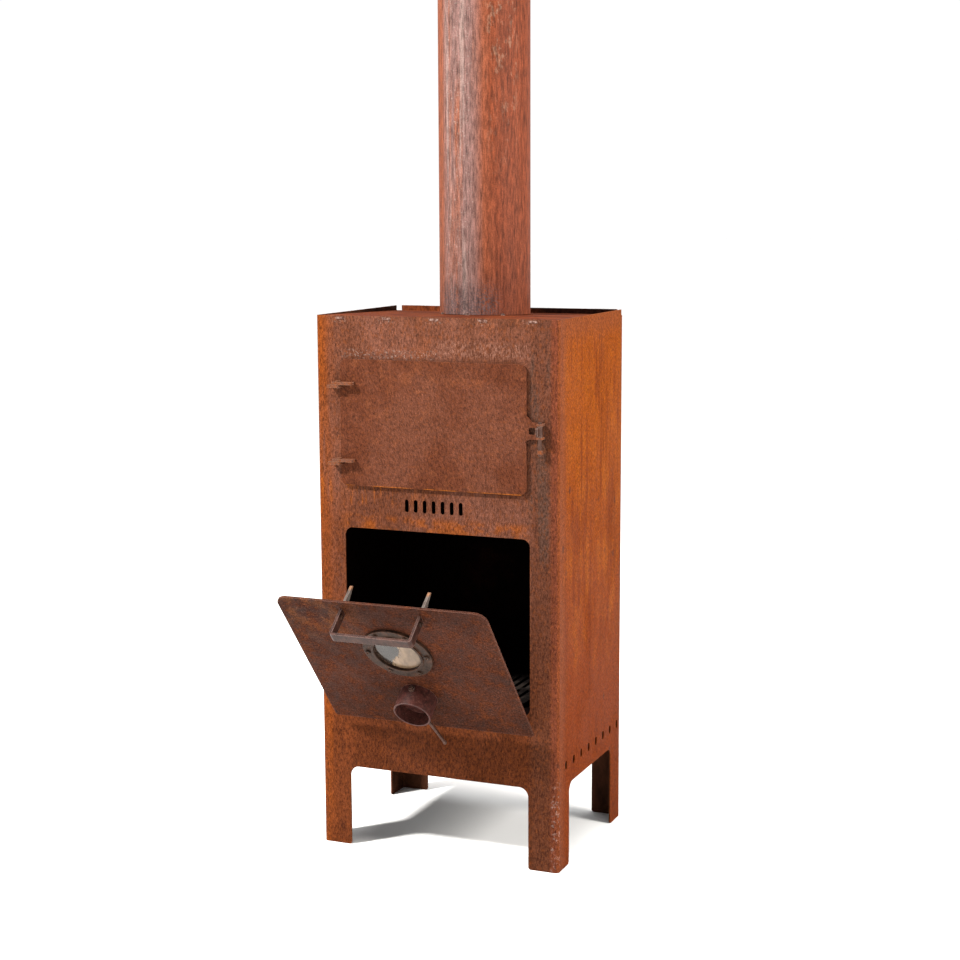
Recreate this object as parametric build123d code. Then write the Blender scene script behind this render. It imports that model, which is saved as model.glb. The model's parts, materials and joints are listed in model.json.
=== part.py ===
from build123d import *
import os
from math import atan, cos, degrees, radians, sin

os.makedirs("parts", exist_ok=True)

# A weathering-steel garden chiminea: a tall folded box on four L legs with an oven above a
# firebox and a round chimney. Millimetres, +Z up, +X to the right, front towards -Y. The
# origin is on the floor, under the centre of the body's footprint.

# ---- Driving dimensions ------------------------------------------------------------------
WIDTH, DEPTH = 480.0, 355.0
BODY_TOP = 1012.0
TOTAL_HEIGHT = 2120.0
SHEET = 3.0
FOLD_RADIUS = 8.0
FLOOR_GAP = 0.2                      # side clearance of the loose inner sheets

# Legs and the arches between them
LEG_FLANGE = 58.5
ARCH_HEIGHT = 155.5
ARCH_RADIUS = 18.0
LEG_CORNER_RADIUS = 5.0

# Body openings: x centre, z centre, width, height, corner radius
FIRE_OPENING = dict(x=0.0, z=454.0, width=370.0, height=328.0, radius=15.0)
OVEN_OPENING = dict(x=-4.0, z=815.5, width=330.0, height=195.0, radius=12.0)
SIDE_VENTS = dict(count=8, first=42.2, pitch=41.4, z=194.0, width=11.0, height=17.0)
FRONT_VENTS = dict(count=7, x=-4.0, pitch=18.0, z=665.0, width=8.0, height=24.0)

# Top plate, rear lip and chimney
TOP_FALL = 9.5
TOP_SETBACK = 0.5
REAR_LIP_HALF = 228.0
DRAIN_NOTCH = 11.0
PIPE_Y_FROM_FRONT = 240.0
PIPE_OUTER_R, PIPE_WALL = 87.0, 2.5
COLLAR_OUTER_R, COLLAR_WALL = 84.0, 2.5
COLLAR_BOTTOM, COLLAR_TOP = 985.0, 1062.0
PIPE_FOOT_GAP = 0.8

# Upper (oven) door
DOOR_GAP, DOOR_SHEET = 3.0, 4.0
EDGE_ROUND = 0.8                     # worn round on the doors' outer edges
UPPER_DOOR = dict(x=-4.0, z=815.5, width=369.0, height=235.0, radius=14.0)
TONGUE_END, TONGUE_BOTTOM, TONGUE_TOP = 201.5, 799.5, 830.5
UPPER_PIN_X, UPPER_PIN_OUT, UPPER_PIN_R = -188.0, 15.0, 3.0
UPPER_HINGE_HEIGHTS = (743.0, 886.0)
TAB_THICKNESS, TAB_GAP = 5.0, 0.5

# Latch beside the tongue
LATCH_X, LATCH_OUT, LATCH_Z = 208.0, 10.5, 815.0
LATCH_SPINDLE_R, LATCH_SLEEVE_R = 3.25, 4.8
LATCH_EAR_WIDTH, LATCH_EAR_REACH, LATCH_EAR_SPREAD = 10.6, 16.0, 28.0
LATCH_FLAG_REACH, LATCH_FLAG_THICKNESS = 16.0, 3.5
LATCH_TAIL = 44.0

# Lower (fire) door, built flat and closed, then swung out about its pivot
LOWER_DOOR_WIDTH, LOWER_DOOR_HEIGHT, LOWER_DOOR_RADIUS = 401.0, 358.0, 22.0
LOWER_DOOR_BOTTOM = 276.4
LOWER_OPEN_ANGLE = 40.0
PIVOT_DEPTH, PIVOT_Z = 10.0, 251.7
HINGE_ROD_R, HINGE_RUNNING = 4.0, 0.05
HINGE_BOSS_R = 6.5
HINGE_ARM_X, HINGE_ARM_THICKNESS = 110.0, 6.0
HINGE_THROAT_R, HINGE_BACK_R = 41.0, 53.0
HINGE_ARM_ANGLES = (38.0, 59.6, 108.0)

# Handle through the lower door, with horns behind it
HANDLE_HALF_SPAN, HANDLE_REACH = 75.0, 57.0
HANDLE_THICKNESS, HANDLE_HEIGHT, HANDLE_TOP = 5.0, 18.5, 340.0
HORN_LENGTH = 50.0

# Window in the lower door
WINDOW_A = 226.0
WINDOW_FLANGE_R, WINDOW_LIP_R, WINDOW_BORE_R, WINDOW_SEAT_R = 65.0, 49.0, 44.0, 48.0
WINDOW_BOLT_PCD, WINDOW_BOLTS, WINDOW_BOLT_R = 114.0, 6, 3.0

# Air inlet tube and its damper
TUBE_A, TUBE_OUTER_R, TUBE_WALL = 93.0, 35.0, 3.0
TUBE_FRONT, TUBE_BACK = 42.0, -8.0
SPINDLE_R, SPINDLE_H, DAMPER_R = 3.0, 11.0, 31.2

# Firebox, air chamber and oven linings
BOTTOM_PLATE_Z = 166.0
FIRE_FLOOR_TOP = 282.0
GRATE_OPENING = (250.0, 170.0)
OVEN_FLOOR_TOP = 700.0
OVEN_HALF_WIDTH, OVEN_DEPTH, OVEN_CEILING = 205.0, 300.0, 925.0
STONE_THICKNESS = 20.0
RACK_Z = 800.0

FRONT = -DEPTH / 2.0
REAR = DEPTH / 2.0
INNER_HALF_WIDTH = WIDTH / 2.0 - SHEET


# ---- Helpers -----------------------------------------------------------------------------
def save(name, *shapes):
    """Write one sub-part; several shapes become one group of separate solids."""
    solids = [solid for shape in shapes for solid in shape.solids()]
    export_step(Compound(solids) if len(solids) > 1 else solids[0], f"parts/{name}.step")


def behind_front(depth):
    """Y of a plane that lies this far behind the body's front face."""
    return FRONT + depth


def slab(sketch, back, thickness):
    """Extrude an (x, z) sketch forwards from a plane this far behind the front face."""
    plane = Plane(origin=(0, behind_front(back), 0), x_dir=(1, 0, 0), z_dir=(0, -1, 0))
    return extrude(plane * sketch, thickness)


def block(x_range, y_range, z_range):
    """Axis-aligned block between two limits on each axis."""
    sizes = [high - low for low, high in (x_range, y_range, z_range)]
    middle = [(high + low) / 2.0 for low, high in (x_range, y_range, z_range)]
    return Pos(*middle) * Box(*sizes)


def tube(outer_r, inner_r, low, high):
    """Round tube along local Z."""
    ring = Circle(outer_r) - Circle(inner_r)
    return Pos(0, 0, low) * extrude(ring, high - low)


def disc(radius, low, high):
    """Round bar or disc along local Z."""
    return Pos(0, 0, low) * extrude(Circle(radius), high - low)


def rod_between(start, end, radius):
    """Round bar from one point to another."""
    direction = Vector(*end) - Vector(*start)
    plane = Plane(origin=start, z_dir=direction)
    return extrude(plane * Circle(radius), direction.length)


def opening_sketch(opening):
    """Rounded rectangle of an opening or plate, in (x, z)."""
    outline = RectangleRounded(opening["width"], opening["height"], opening["radius"])
    return Pos(opening["x"], opening["z"]) * outline


def loose_sheet(z_low, z_high, back=DEPTH - 2 * SHEET):
    """Horizontal sheet that fills the inside of the body, from the front to the rear panel."""
    half = INNER_HALF_WIDTH - FLOOR_GAP
    y_range = (behind_front(SHEET + FLOOR_GAP), behind_front(back - FLOOR_GAP))
    sheet = block((-half, half), y_range, (z_low, z_high))
    return fillet(sheet.edges().filter_by(Axis.Z), FOLD_RADIUS - SHEET + 1.0)


# ---- Body shell, rear panel and top ------------------------------------------------------
def make_body_shell():
    """One sheet folded round all four corners, with the legs, openings and vents cut out."""
    outer = RectangleRounded(WIDTH, DEPTH, FOLD_RADIUS)
    inner = RectangleRounded(WIDTH - 2 * SHEET, DEPTH - 2 * SHEET, FOLD_RADIUS - SHEET)
    shell = extrude(outer - inner, BODY_TOP)

    leg_inside = WIDTH / 2.0 - LEG_FLANGE
    rear_gap = block((-leg_inside, leg_inside), (REAR - SHEET - 1, REAR + 1), (-1, BODY_TOP + 1))
    shell -= rear_gap
    for side in (-1, 1):
        notch_x = sorted((side * REAR_LIP_HALF, side * (WIDTH / 2.0 + 1)))
        notch_z = (BODY_TOP - DRAIN_NOTCH, BODY_TOP + 1)
        shell -= block(notch_x, (REAR - DRAIN_NOTCH, REAR + 1), notch_z)

    front_arch = RectangleRounded(2 * leg_inside, 2 * ARCH_HEIGHT, ARCH_RADIUS)
    for sketch in (front_arch, opening_sketch(FIRE_OPENING), opening_sketch(OVEN_OPENING)):
        shell -= slab(sketch, SHEET + 1, SHEET + 2)
    for index in range(FRONT_VENTS["count"]):
        x = FRONT_VENTS["x"] + (index - (FRONT_VENTS["count"] - 1) / 2.0) * FRONT_VENTS["pitch"]
        vent = SlotOverall(FRONT_VENTS["height"], FRONT_VENTS["width"], rotation=90)
        shell -= slab(Pos(x, FRONT_VENTS["z"]) * vent, SHEET + 1, SHEET + 2)

    side_plane = Plane.YZ
    side_arch = RectangleRounded(DEPTH - 2 * LEG_FLANGE, 2 * ARCH_HEIGHT, ARCH_RADIUS)
    shell -= extrude(side_plane * side_arch, WIDTH, both=True)
    for index in range(SIDE_VENTS["count"]):
        y = behind_front(SIDE_VENTS["first"] + index * SIDE_VENTS["pitch"])
        vent = SlotOverall(SIDE_VENTS["height"], SIDE_VENTS["width"], rotation=90)
        shell -= extrude(side_plane * Pos(y, SIDE_VENTS["z"]) * vent, WIDTH, both=True)

    feet_x = [e for e in shell.edges().filter_by(Axis.Y)
              if e.center().Z < 0.1 and abs(abs(e.center().X) - leg_inside) < 0.1]
    feet_y = [e for e in shell.edges().filter_by(Axis.X)
              if e.center().Z < 0.1 and abs(abs(e.center().Y) - (REAR - LEG_FLANGE)) < 0.1]
    return fillet(feet_x + feet_y, LEG_CORNER_RADIUS)


def make_rear_panel():
    """Sheet inside the rear return flanges; its top edge is the rear lip."""
    height = BODY_TOP - ARCH_HEIGHT
    outline = Pos(0, ARCH_HEIGHT + height / 2.0) * Rectangle(2 * REAR_LIP_HALF, height)
    return slab(outline, DEPTH - SHEET, SHEET)


TOP_FRONT_Z = BODY_TOP - TOP_SETBACK
TOP_RUN = DEPTH - 3 * SHEET
TOP_SLOPE = degrees(atan(TOP_FALL / TOP_RUN))
PIPE_Y = behind_front(PIPE_Y_FROM_FRONT)


def top_plane(lift=0.0):
    """Plane of the top plate's upper face, raised by lift, with its origin mid-plate."""
    middle = (0, 0, TOP_FRONT_Z - TOP_FALL / 2.0 + lift)
    tilt = radians(TOP_SLOPE)
    return Plane(origin=middle, x_dir=(1, 0, 0), z_dir=(0, sin(tilt), cos(tilt)))


def make_top_plate():
    """Plate inside the four walls, falling towards the rear drain notches."""
    half = INNER_HALF_WIDTH - FLOOR_GAP
    run = TOP_RUN - 2 * FLOOR_GAP
    outline = RectangleRounded(2 * half, run, FOLD_RADIUS - SHEET + 1.0)
    centre_shift = SHEET / 2.0
    plate = extrude(top_plane() * Pos(0, -centre_shift) * outline, -SHEET)
    return plate - Pos(0, PIPE_Y, 0) * disc(COLLAR_OUTER_R, 900, 1100)


def above_top_plate(lift):
    """Everything above a plane parallel to the top plate."""
    return extrude(top_plane(lift) * Rectangle(2 * WIDTH, 2 * DEPTH), TOTAL_HEIGHT)


def make_chimney_collar():
    return Pos(0, PIPE_Y, 0) * tube(
        COLLAR_OUTER_R, COLLAR_OUTER_R - COLLAR_WALL, COLLAR_BOTTOM, COLLAR_TOP)


def make_chimney_pipe():
    """Pipe over the collar, its foot cut parallel to the sloping top plate."""
    pipe = Pos(0, PIPE_Y, 0) * tube(
        PIPE_OUTER_R, PIPE_OUTER_R - PIPE_WALL, BODY_TOP - 2 * TOP_FALL, TOTAL_HEIGHT)
    return pipe & above_top_plate(PIPE_FOOT_GAP)


def make_pipe_welds():
    """Four beads that tie the pipe's foot to the top plate."""
    bead_r = 4.0
    pipe_core = Pos(0, PIPE_Y, 0) * disc(PIPE_OUTER_R, 900, 1100)
    beads = []
    for angle in (45, 135, 225, 270, 315):
        x = PIPE_OUTER_R * cos(radians(angle))
        y = PIPE_Y + PIPE_OUTER_R * sin(radians(angle))
        foot_z = TOP_FRONT_Z - TOP_FALL * (y - behind_front(SHEET)) / TOP_RUN
        bead = Pos(x, y, foot_z) * Sphere(bead_r)
        beads.append((bead - pipe_core) & above_top_plate(0.0))
    return beads


def make_tack_welds():
    """Five low, lengthwise beads just below the front's top edge."""
    length, height, proud, below_top = 17.0, 4.5, 1.1, 4.5
    beads = []
    for x in (-190.0, -95.0, 0.0, 95.0, 190.0):
        bead = slab(Pos(x, BODY_TOP - below_top) * SlotOverall(length, height), 0.0, proud)
        beads.append(fillet(bead.faces().sort_by(Axis.Y)[0].edges(), 0.7))
    return beads


# ---- Upper door, hinges and latch --------------------------------------------------------
DOOR_FACE_OUT = DOOR_GAP + DOOR_SHEET


def make_upper_door_plate():
    """Flat plate with a pierced tongue on its free side."""
    edge = UPPER_DOOR["x"] + UPPER_DOOR["width"] / 2.0
    overlap, taper, hollow_r = 10.0, 11.5, 7.0
    tongue = Polygon(
        (edge - overlap, TONGUE_BOTTOM), (TONGUE_END, TONGUE_BOTTOM),
        (TONGUE_END, TONGUE_TOP), (edge + taper, TONGUE_TOP),
        (edge, TONGUE_TOP + taper), (edge - overlap, TONGUE_TOP + taper), align=None)
    tip = [v for v in tongue.vertices() if abs(v.X - TONGUE_END) < 0.1]
    tongue = fillet(tip, 2.5)
    corner = (edge + hollow_r / 2.0, TONGUE_BOTTOM - hollow_r / 2.0)
    hollow = Pos(*corner) * Rectangle(hollow_r, hollow_r)
    hollow -= Pos(edge + hollow_r, TONGUE_BOTTOM - hollow_r) * Circle(hollow_r)
    eye = Pos(TONGUE_END - 9.5, (TONGUE_BOTTOM + TONGUE_TOP) / 2.0) * RectangleRounded(13, 13, 4)
    outline = opening_sketch(UPPER_DOOR) + tongue + hollow - eye
    plate = slab(outline, -DOOR_GAP, DOOR_SHEET)
    front_face = plate.faces().sort_by(Axis.Y)[0]
    return fillet(front_face.outer_wire().edges(), EDGE_ROUND)


def plan_plate(sketch, low, thickness):
    """Horizontal plate from an (x, distance out of the front face) sketch."""
    plane = Plane(origin=(0, FRONT, low), x_dir=(1, 0, 0), z_dir=(0, 0, -1))
    return Pos(0, 0, thickness) * extrude(plane * sketch, thickness)


def make_upper_hinges():
    """Door-side tabs, body-side tabs and pins; a door tab lies over each body tab."""
    door_tabs, body_tabs, pins = [], [], []
    pin_at = Pos(UPPER_PIN_X, UPPER_PIN_OUT)
    tab_out = UPPER_PIN_OUT + 7.0
    door_low, door_high, door_left, door_right = DOOR_FACE_OUT, tab_out, -200.0, -158.0
    door_size = (door_right - door_left, door_high - door_low)
    door_middle = ((door_left + door_right) / 2.0, (door_low + door_high) / 2.0)
    door_sketch = Pos(*door_middle) * RectangleRounded(*door_size, 2.5)
    door_sketch -= pin_at * Circle(UPPER_PIN_R + HINGE_RUNNING)
    root = Pos(-200.0, 11.0) * RectangleRounded(17.0, tab_out, 2.5)
    root += Pos(-200.0, 4.0) * Rectangle(17.0, 8.0)
    arm = Pos(-197.0, 15.0) * Rectangle(18.0, 14.0) + pin_at * Circle(7.0)
    body_sketch = root + arm - pin_at * Circle(UPPER_PIN_R)
    for height in UPPER_HINGE_HEIGHTS:
        body_low = height - TAB_THICKNESS - TAB_GAP
        door_tabs.append(plan_plate(door_sketch, height, TAB_THICKNESS))
        body_tabs.append(plan_plate(body_sketch, body_low, TAB_THICKNESS))
        pin = disc(UPPER_PIN_R, body_low - 2.0, height + TAB_THICKNESS + 1.0)
        pin += disc(UPPER_PIN_R + 1.6, height + TAB_THICKNESS + TAB_GAP, height + TAB_THICKNESS + 2.5)
        pins.append(Pos(UPPER_PIN_X, FRONT - UPPER_PIN_OUT, 0) * pin)
    return door_tabs, body_tabs, pins


def make_latch():
    """Two ears on the body, an upright spindle through them, its flag and its grip."""
    ear, gap = 4.0, 0.5
    half = LATCH_EAR_SPREAD / 2.0
    bore = Pos(LATCH_X, LATCH_OUT) * Circle(LATCH_SPINDLE_R + HINGE_RUNNING)
    outline = Pos(LATCH_X, LATCH_EAR_REACH / 2.0) * Rectangle(LATCH_EAR_WIDTH, LATCH_EAR_REACH)
    tips = [v for v in outline.vertices() if v.Y > LATCH_EAR_REACH - 0.1]
    ear_sketch = fillet(tips, 3.0) - bore
    ears = [plan_plate(ear_sketch, low, ear) for low in (LATCH_Z - half, LATCH_Z + half - ear)]

    axis = Pos(LATCH_X, FRONT - LATCH_OUT, LATCH_Z)
    spindle = axis * disc(LATCH_SPINDLE_R, -LATCH_TAIL, half + 3.0)
    spindle = fillet(spindle.edges().filter_by(GeomType.CIRCLE), 1.5)
    grip = axis * tube(LATCH_SLEEVE_R, LATCH_SPINDLE_R + HINGE_RUNNING,
                       -LATCH_TAIL + 3.0, -LATCH_TAIL + 11.0)
    grip = fillet(grip.faces().filter_by(GeomType.CYLINDER).sort_by(SortBy.AREA)[-1].edges(), 1.0)

    # At rest the flag points straight out; a quarter turn lays it over the door's tongue
    sleeve_half = half - ear - gap
    flag_near, flag_far = LATCH_OUT + LATCH_SPINDLE_R + 0.5, LATCH_OUT + LATCH_FLAG_REACH
    flag_sketch = Pos(LATCH_X, (flag_near + flag_far) / 2.0) * Rectangle(
        LATCH_FLAG_THICKNESS, flag_far - flag_near)
    flag = plan_plate(flag_sketch, LATCH_Z - sleeve_half + 1.0, 2 * sleeve_half - 2.0)
    corners = [e for e in flag.edges().filter_by(Axis.X) if e.center().Y < FRONT - flag_far + 0.1]
    flag = fillet(corners, 3.0)
    flag += axis * disc(LATCH_SLEEVE_R, -sleeve_half, sleeve_half)
    flag -= axis * disc(LATCH_SPINDLE_R + HINGE_RUNNING, -50, 50)
    return ears, spindle, flag, grip


# ---- Lower door --------------------------------------------------------------------------
# The door is built in its own axes: u to the right, a up the door from its lower edge, and
# h out of its outer face. CLOSED and REST place those axes in the body.
swing = radians(LOWER_OPEN_ANGLE)
pivot_to_edge = (-(DOOR_FACE_OUT + PIVOT_DEPTH), LOWER_DOOR_BOTTOM - PIVOT_Z)
rest_y = pivot_to_edge[0] * cos(swing) - pivot_to_edge[1] * sin(swing)
rest_z = pivot_to_edge[0] * sin(swing) + pivot_to_edge[1] * cos(swing)
REST = Plane(origin=(0, behind_front(PIVOT_DEPTH) + rest_y, PIVOT_Z + rest_z),
             x_dir=(1, 0, 0), z_dir=(0, -cos(swing), -sin(swing))).location
PIVOT_A = PIVOT_Z - LOWER_DOOR_BOTTOM
PIVOT_H = -DOOR_FACE_OUT - PIVOT_DEPTH


def window_bolt_places():
    return [Pos(0, WINDOW_A) * loc for loc in PolarLocations(WINDOW_BOLT_PCD / 2.0, WINDOW_BOLTS)]


def make_lower_door_plate():
    """Plate with rounded top corners, a window hole, a tube hole and two handle slots."""
    outline = Pos(0, LOWER_DOOR_HEIGHT / 2.0) * Rectangle(LOWER_DOOR_WIDTH, LOWER_DOOR_HEIGHT)
    top = [v for v in outline.vertices() if v.Y > LOWER_DOOR_HEIGHT - 0.1]
    outline = fillet(top, LOWER_DOOR_RADIUS)
    low = [v for v in outline.vertices() if v.Y < 0.1]
    outline = fillet(low, 6.0)
    outline -= Pos(0, WINDOW_A) * Circle(WINDOW_SEAT_R)
    outline -= Pos(0, TUBE_A) * Circle(TUBE_OUTER_R)
    for side in (-1, 1):
        slot_at = (side * HANDLE_HALF_SPAN, HANDLE_TOP - HANDLE_HEIGHT / 2.0)
        outline -= Pos(*slot_at) * Rectangle(HANDLE_THICKNESS, HANDLE_HEIGHT)
    for place in window_bolt_places():
        outline -= place * Circle(WINDOW_BOLT_R)
    plate = extrude(outline, -DOOR_SHEET)
    rims = [plate.faces().sort_by(Axis.Z)[end].outer_wire().edges() for end in (0, -1)]
    return fillet(rims[0] + rims[1], EDGE_ROUND)


def make_handle():
    """Bent flat bar whose two legs go through the door and taper into horns behind it."""
    plane = Plane(origin=(0, HANDLE_TOP, 0), x_dir=(1, 0, 0), z_dir=(0, -1, 0))
    outer_half = HANDLE_HALF_SPAN + HANDLE_THICKNESS / 2.0
    inner_half, inner_reach = outer_half - HANDLE_THICKNESS, HANDLE_REACH - HANDLE_THICKNESS
    outer = RectangleRounded(2 * outer_half, 2 * HANDLE_REACH, 6.5)
    inner = RectangleRounded(2 * inner_half, 2 * inner_reach, 2.0)
    reach = HANDLE_REACH + DOOR_SHEET
    front_part = Pos(0, HANDLE_REACH - reach / 2.0) * Rectangle(3 * outer_half, reach)
    handle = extrude(plane * ((outer - inner) & front_part), HANDLE_HEIGHT)
    root, tip = -DOOR_SHEET, -DOOR_SHEET - HORN_LENGTH
    low = HANDLE_TOP - HANDLE_HEIGHT
    horn = Polygon(
        (root, low), (root, HANDLE_TOP), (tip + 3.0, HANDLE_TOP - 1.5), (tip, HANDLE_TOP - 4.0),
        (tip + 3.0, HANDLE_TOP - 6.5), align=None)
    for side in (-1, 1):
        left = side * HANDLE_HALF_SPAN - HANDLE_THICKNESS / 2.0
        side_plane = Plane(origin=(left, 0, 0), x_dir=(0, 0, 1), z_dir=(-1, 0, 0))
        handle += Pos(HANDLE_THICKNESS, 0, 0) * extrude(side_plane * horn, HANDLE_THICKNESS)
    rims = [e for e in handle.edges() if e.length > 4.5 and abs(e.center().Z - root) > 0.2]
    return fillet(rims, EDGE_ROUND)


def make_handle_screws():
    """A cross screw through each leg: head on its right face, nut on its left face."""
    head_r, shank_r, head, nut = 4.5, 2.0, 3.0, 3.2
    at_a, at_h = HANDLE_TOP - 8.5, 12.0
    screws, holes = [], []
    for side in (-1, 1):
        middle = side * HANDLE_HALF_SPAN
        right, left = middle + HANDLE_THICKNESS / 2.0, middle - HANDLE_THICKNESS / 2.0
        place = Pos(0, at_a, at_h) * Rot(0, 90, 0)
        shank = place * disc(shank_r, left - nut, right)
        cap = place * disc(head_r, right, right + head)
        cap = fillet(cap.edges().group_by(Axis.X)[-1], 1.6)
        hexagon = place * Pos(0, 0, left - nut) * extrude(RegularPolygon(4.6, 6), nut)
        screws.append(shank + cap + hexagon)
        holes.append(shank)
    return screws, holes


def make_window():
    """Ring with a raised lip, gasket, glass, back ring, bolts and nuts."""
    flange, lip, seat, gasket, back = 6.0, 9.0, 3.0, -1.0, 4.0
    ring = disc(WINDOW_FLANGE_R, 0, flange) + disc(WINDOW_LIP_R, 0, lip)
    ring -= disc(WINDOW_BORE_R, -1, lip + 1)
    ring -= disc(WINDOW_SEAT_R, -1, seat)
    rims = ring.edges().filter_by(GeomType.CIRCLE).group_by(Axis.Z)
    ring = fillet(rims[-1] + rims[-2].sort_by(SortBy.RADIUS)[-1:], EDGE_ROUND)
    back_ring = tube(WINDOW_FLANGE_R, WINDOW_BORE_R, -DOOR_SHEET - back, -DOOR_SHEET)
    bolts, nuts = [], []
    for place in PolarLocations(WINDOW_BOLT_PCD / 2.0, WINDOW_BOLTS):
        shank = disc(WINDOW_BOLT_R, -DOOR_SHEET - back - 6.5, flange)
        ring -= place * shank
        back_ring -= place * shank
        cap = disc(5.2, flange, flange + 3.2)
        cap = fillet(cap.edges().group_by(Axis.Z)[-1], 1.8)
        cap -= Pos(0, 0, flange + 1.6) * extrude(RegularPolygon(2.2, 6), 3.0)
        nut_low = -DOOR_SHEET - back - 4.5
        nut = Pos(0, 0, nut_low) * extrude(RegularPolygon(5.6, 6), 4.5)
        bolts.append(place * (shank + cap))
        nuts.append(place * (nut - disc(WINDOW_BOLT_R, nut_low - 1, nut_low + 6)))
    glass = disc(WINDOW_SEAT_R - 0.3, gasket, seat)
    seal = tube(WINDOW_SEAT_R, WINDOW_BORE_R, -DOOR_SHEET, gasket)
    at_window = Pos(0, WINDOW_A, 0)
    return [[at_window * shape for shape in group]
            for group in ([ring], [glass], [seal], [back_ring], bolts, nuts)]


def make_air_inlet():
    """Tube through the door, with a spindle across it that carries a butterfly disc."""
    at_tube = Pos(0, TUBE_A, 0)
    inlet = tube(TUBE_OUTER_R, TUBE_OUTER_R - TUBE_WALL, TUBE_BACK, TUBE_FRONT)
    inlet = at_tube * fillet(inlet.edges().group_by(Axis.Z)[-1], EDGE_ROUND)
    top, bend, tip = (0, TUBE_A + 42, SPINDLE_H), (0, TUBE_A - 45, SPINDLE_H), (19, -33, 13)
    inlet -= rod_between(bend, top, SPINDLE_R + HINGE_RUNNING)
    spindle = rod_between(bend, top, SPINDLE_R)
    spindle += Pos(*bend) * Sphere(SPINDLE_R) + rod_between(bend, tip, SPINDLE_R)
    spindle += Pos(*tip) * Sphere(SPINDLE_R + 0.8)
    wing = Pos(0, TUBE_A, SPINDLE_H) * disc(DAMPER_R, SPINDLE_R, SPINDLE_R + 1.5)
    collars = []
    for low in (TUBE_A + TUBE_OUTER_R + 0.4, TUBE_A - TUBE_OUTER_R - 4.9):
        collar = Pos(0, low, SPINDLE_H) * Rot(-90, 0, 0) * tube(SPINDLE_R + 2.6, SPINDLE_R, 0, 4.5)
        collars.append(collar)
    return inlet, spindle, wing, collars


def make_hinge_arms():
    """Two goosenecks from the door's back, over the sill, to the rod behind the front sheet."""
    low_angle, stop_angle, door_angle = HINGE_ARM_ANGLES

    def wedge(first, last, reach):
        middle = (first + last) / 2.0
        points = [(0, 0)]
        for angle in (first, middle, last):
            points.append((reach * cos(radians(angle)), reach * sin(radians(angle))))
        return Polygon(*points, align=None)

    door_back = -DOOR_FACE_OUT - PIVOT_DEPTH + DOOR_SHEET
    band = (Circle(HINGE_BACK_R) - Circle(HINGE_THROAT_R)) & wedge(low_angle, door_angle, 90.0)
    behind_door = Pos(door_back + 60.0, 40.0) * Rectangle(120.0, 120.0)
    spoke = Circle(HINGE_THROAT_R + 1.0) & wedge(low_angle, stop_angle, 90.0)
    foot_low, foot_high, foot_width = 43.0, 78.0, 8.0
    foot = Pos(door_back + foot_width / 2.0, (foot_low + foot_high) / 2.0) * Rectangle(
        foot_width, foot_high - foot_low)
    profile = (band & behind_door) + spoke + foot + Circle(HINGE_BOSS_R)
    profile -= Circle(HINGE_ROD_R + HINGE_RUNNING)
    arms = []
    for side in (-1, 1):
        left = side * HINGE_ARM_X - HINGE_ARM_THICKNESS / 2.0
        plane = Plane(origin=(left, PIVOT_A, PIVOT_H), x_dir=(0, 0, -1), z_dir=(1, 0, 0))
        arms.append(extrude(plane * profile, HINGE_ARM_THICKNESS))
    return arms


def make_hinge_rod():
    """Rod behind the front sheet, the ears that hold it, and a collar on each end."""
    ear, side_gap, rod_half, collar = 4.0, 0.5, 132.0, 5.0
    y, ear_top, ear_bottom = behind_front(PIVOT_DEPTH), PIVOT_Z + 9.0, PIVOT_Z - 11.0
    along_x = Pos(0, y, PIVOT_Z) * Rot(0, 90, 0)
    rod = along_x * disc(HINGE_ROD_R, -rod_half, rod_half)
    ears, collars = [], []
    for side in (-1, 1):
        for outward in (-1, 1):
            near = HINGE_ARM_THICKNESS / 2.0 + side_gap
            centre = side * HINGE_ARM_X + outward * (near + ear / 2.0)
            plate = block((centre - ear / 2.0, centre + ear / 2.0),
                          (behind_front(SHEET), y + 9.0), (ear_bottom, ear_top))
            ears.append(plate - along_x * disc(HINGE_ROD_R, -rod_half, rod_half))
        low, high = sorted((side * (rod_half - 2.0), side * (rod_half - 2.0 - collar)))
        collars.append(along_x * tube(HINGE_ROD_R + 2.5, HINGE_ROD_R, low, high))
    return rod, ears, collars


# ---- Inside the body ---------------------------------------------------------------------
def make_bottom_and_ash_tray():
    """Bottom plate below the vents, with a shallow tray that catches the ash."""
    bottom = loose_sheet(BOTTOM_PLATE_Z, BOTTOM_PLATE_Z + SHEET)
    tray_low, tray_wall = BOTTOM_PLATE_Z + SHEET, 2.0
    tray = extrude(RectangleRounded(380, 250, 8), 45.0)
    tray -= Pos(0, 0, tray_wall) * extrude(RectangleRounded(376, 246, 6), 60.0)
    return bottom, Pos(0, 12.0, tray_low) * tray


def make_firebox_floor():
    """Floor sheet with a grate opening, and a slot for each hinge arm."""
    floor = loose_sheet(FIRE_FLOOR_TOP - SHEET, FIRE_FLOOR_TOP)
    floor -= Pos(0, 0, FIRE_FLOOR_TOP) * extrude(RectangleRounded(*GRATE_OPENING, 8), 10, both=True)
    slot_half, slot_end = HINGE_ARM_THICKNESS / 2.0 + 4.0, 60.0
    for side in (-1, 1):
        x_range = (side * HINGE_ARM_X - slot_half, side * HINGE_ARM_X + slot_half)
        y_range = (FRONT, behind_front(slot_end))
        floor -= block(x_range, y_range, (FIRE_FLOOR_TOP - 10, FIRE_FLOOR_TOP + 10))
    return floor


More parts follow.
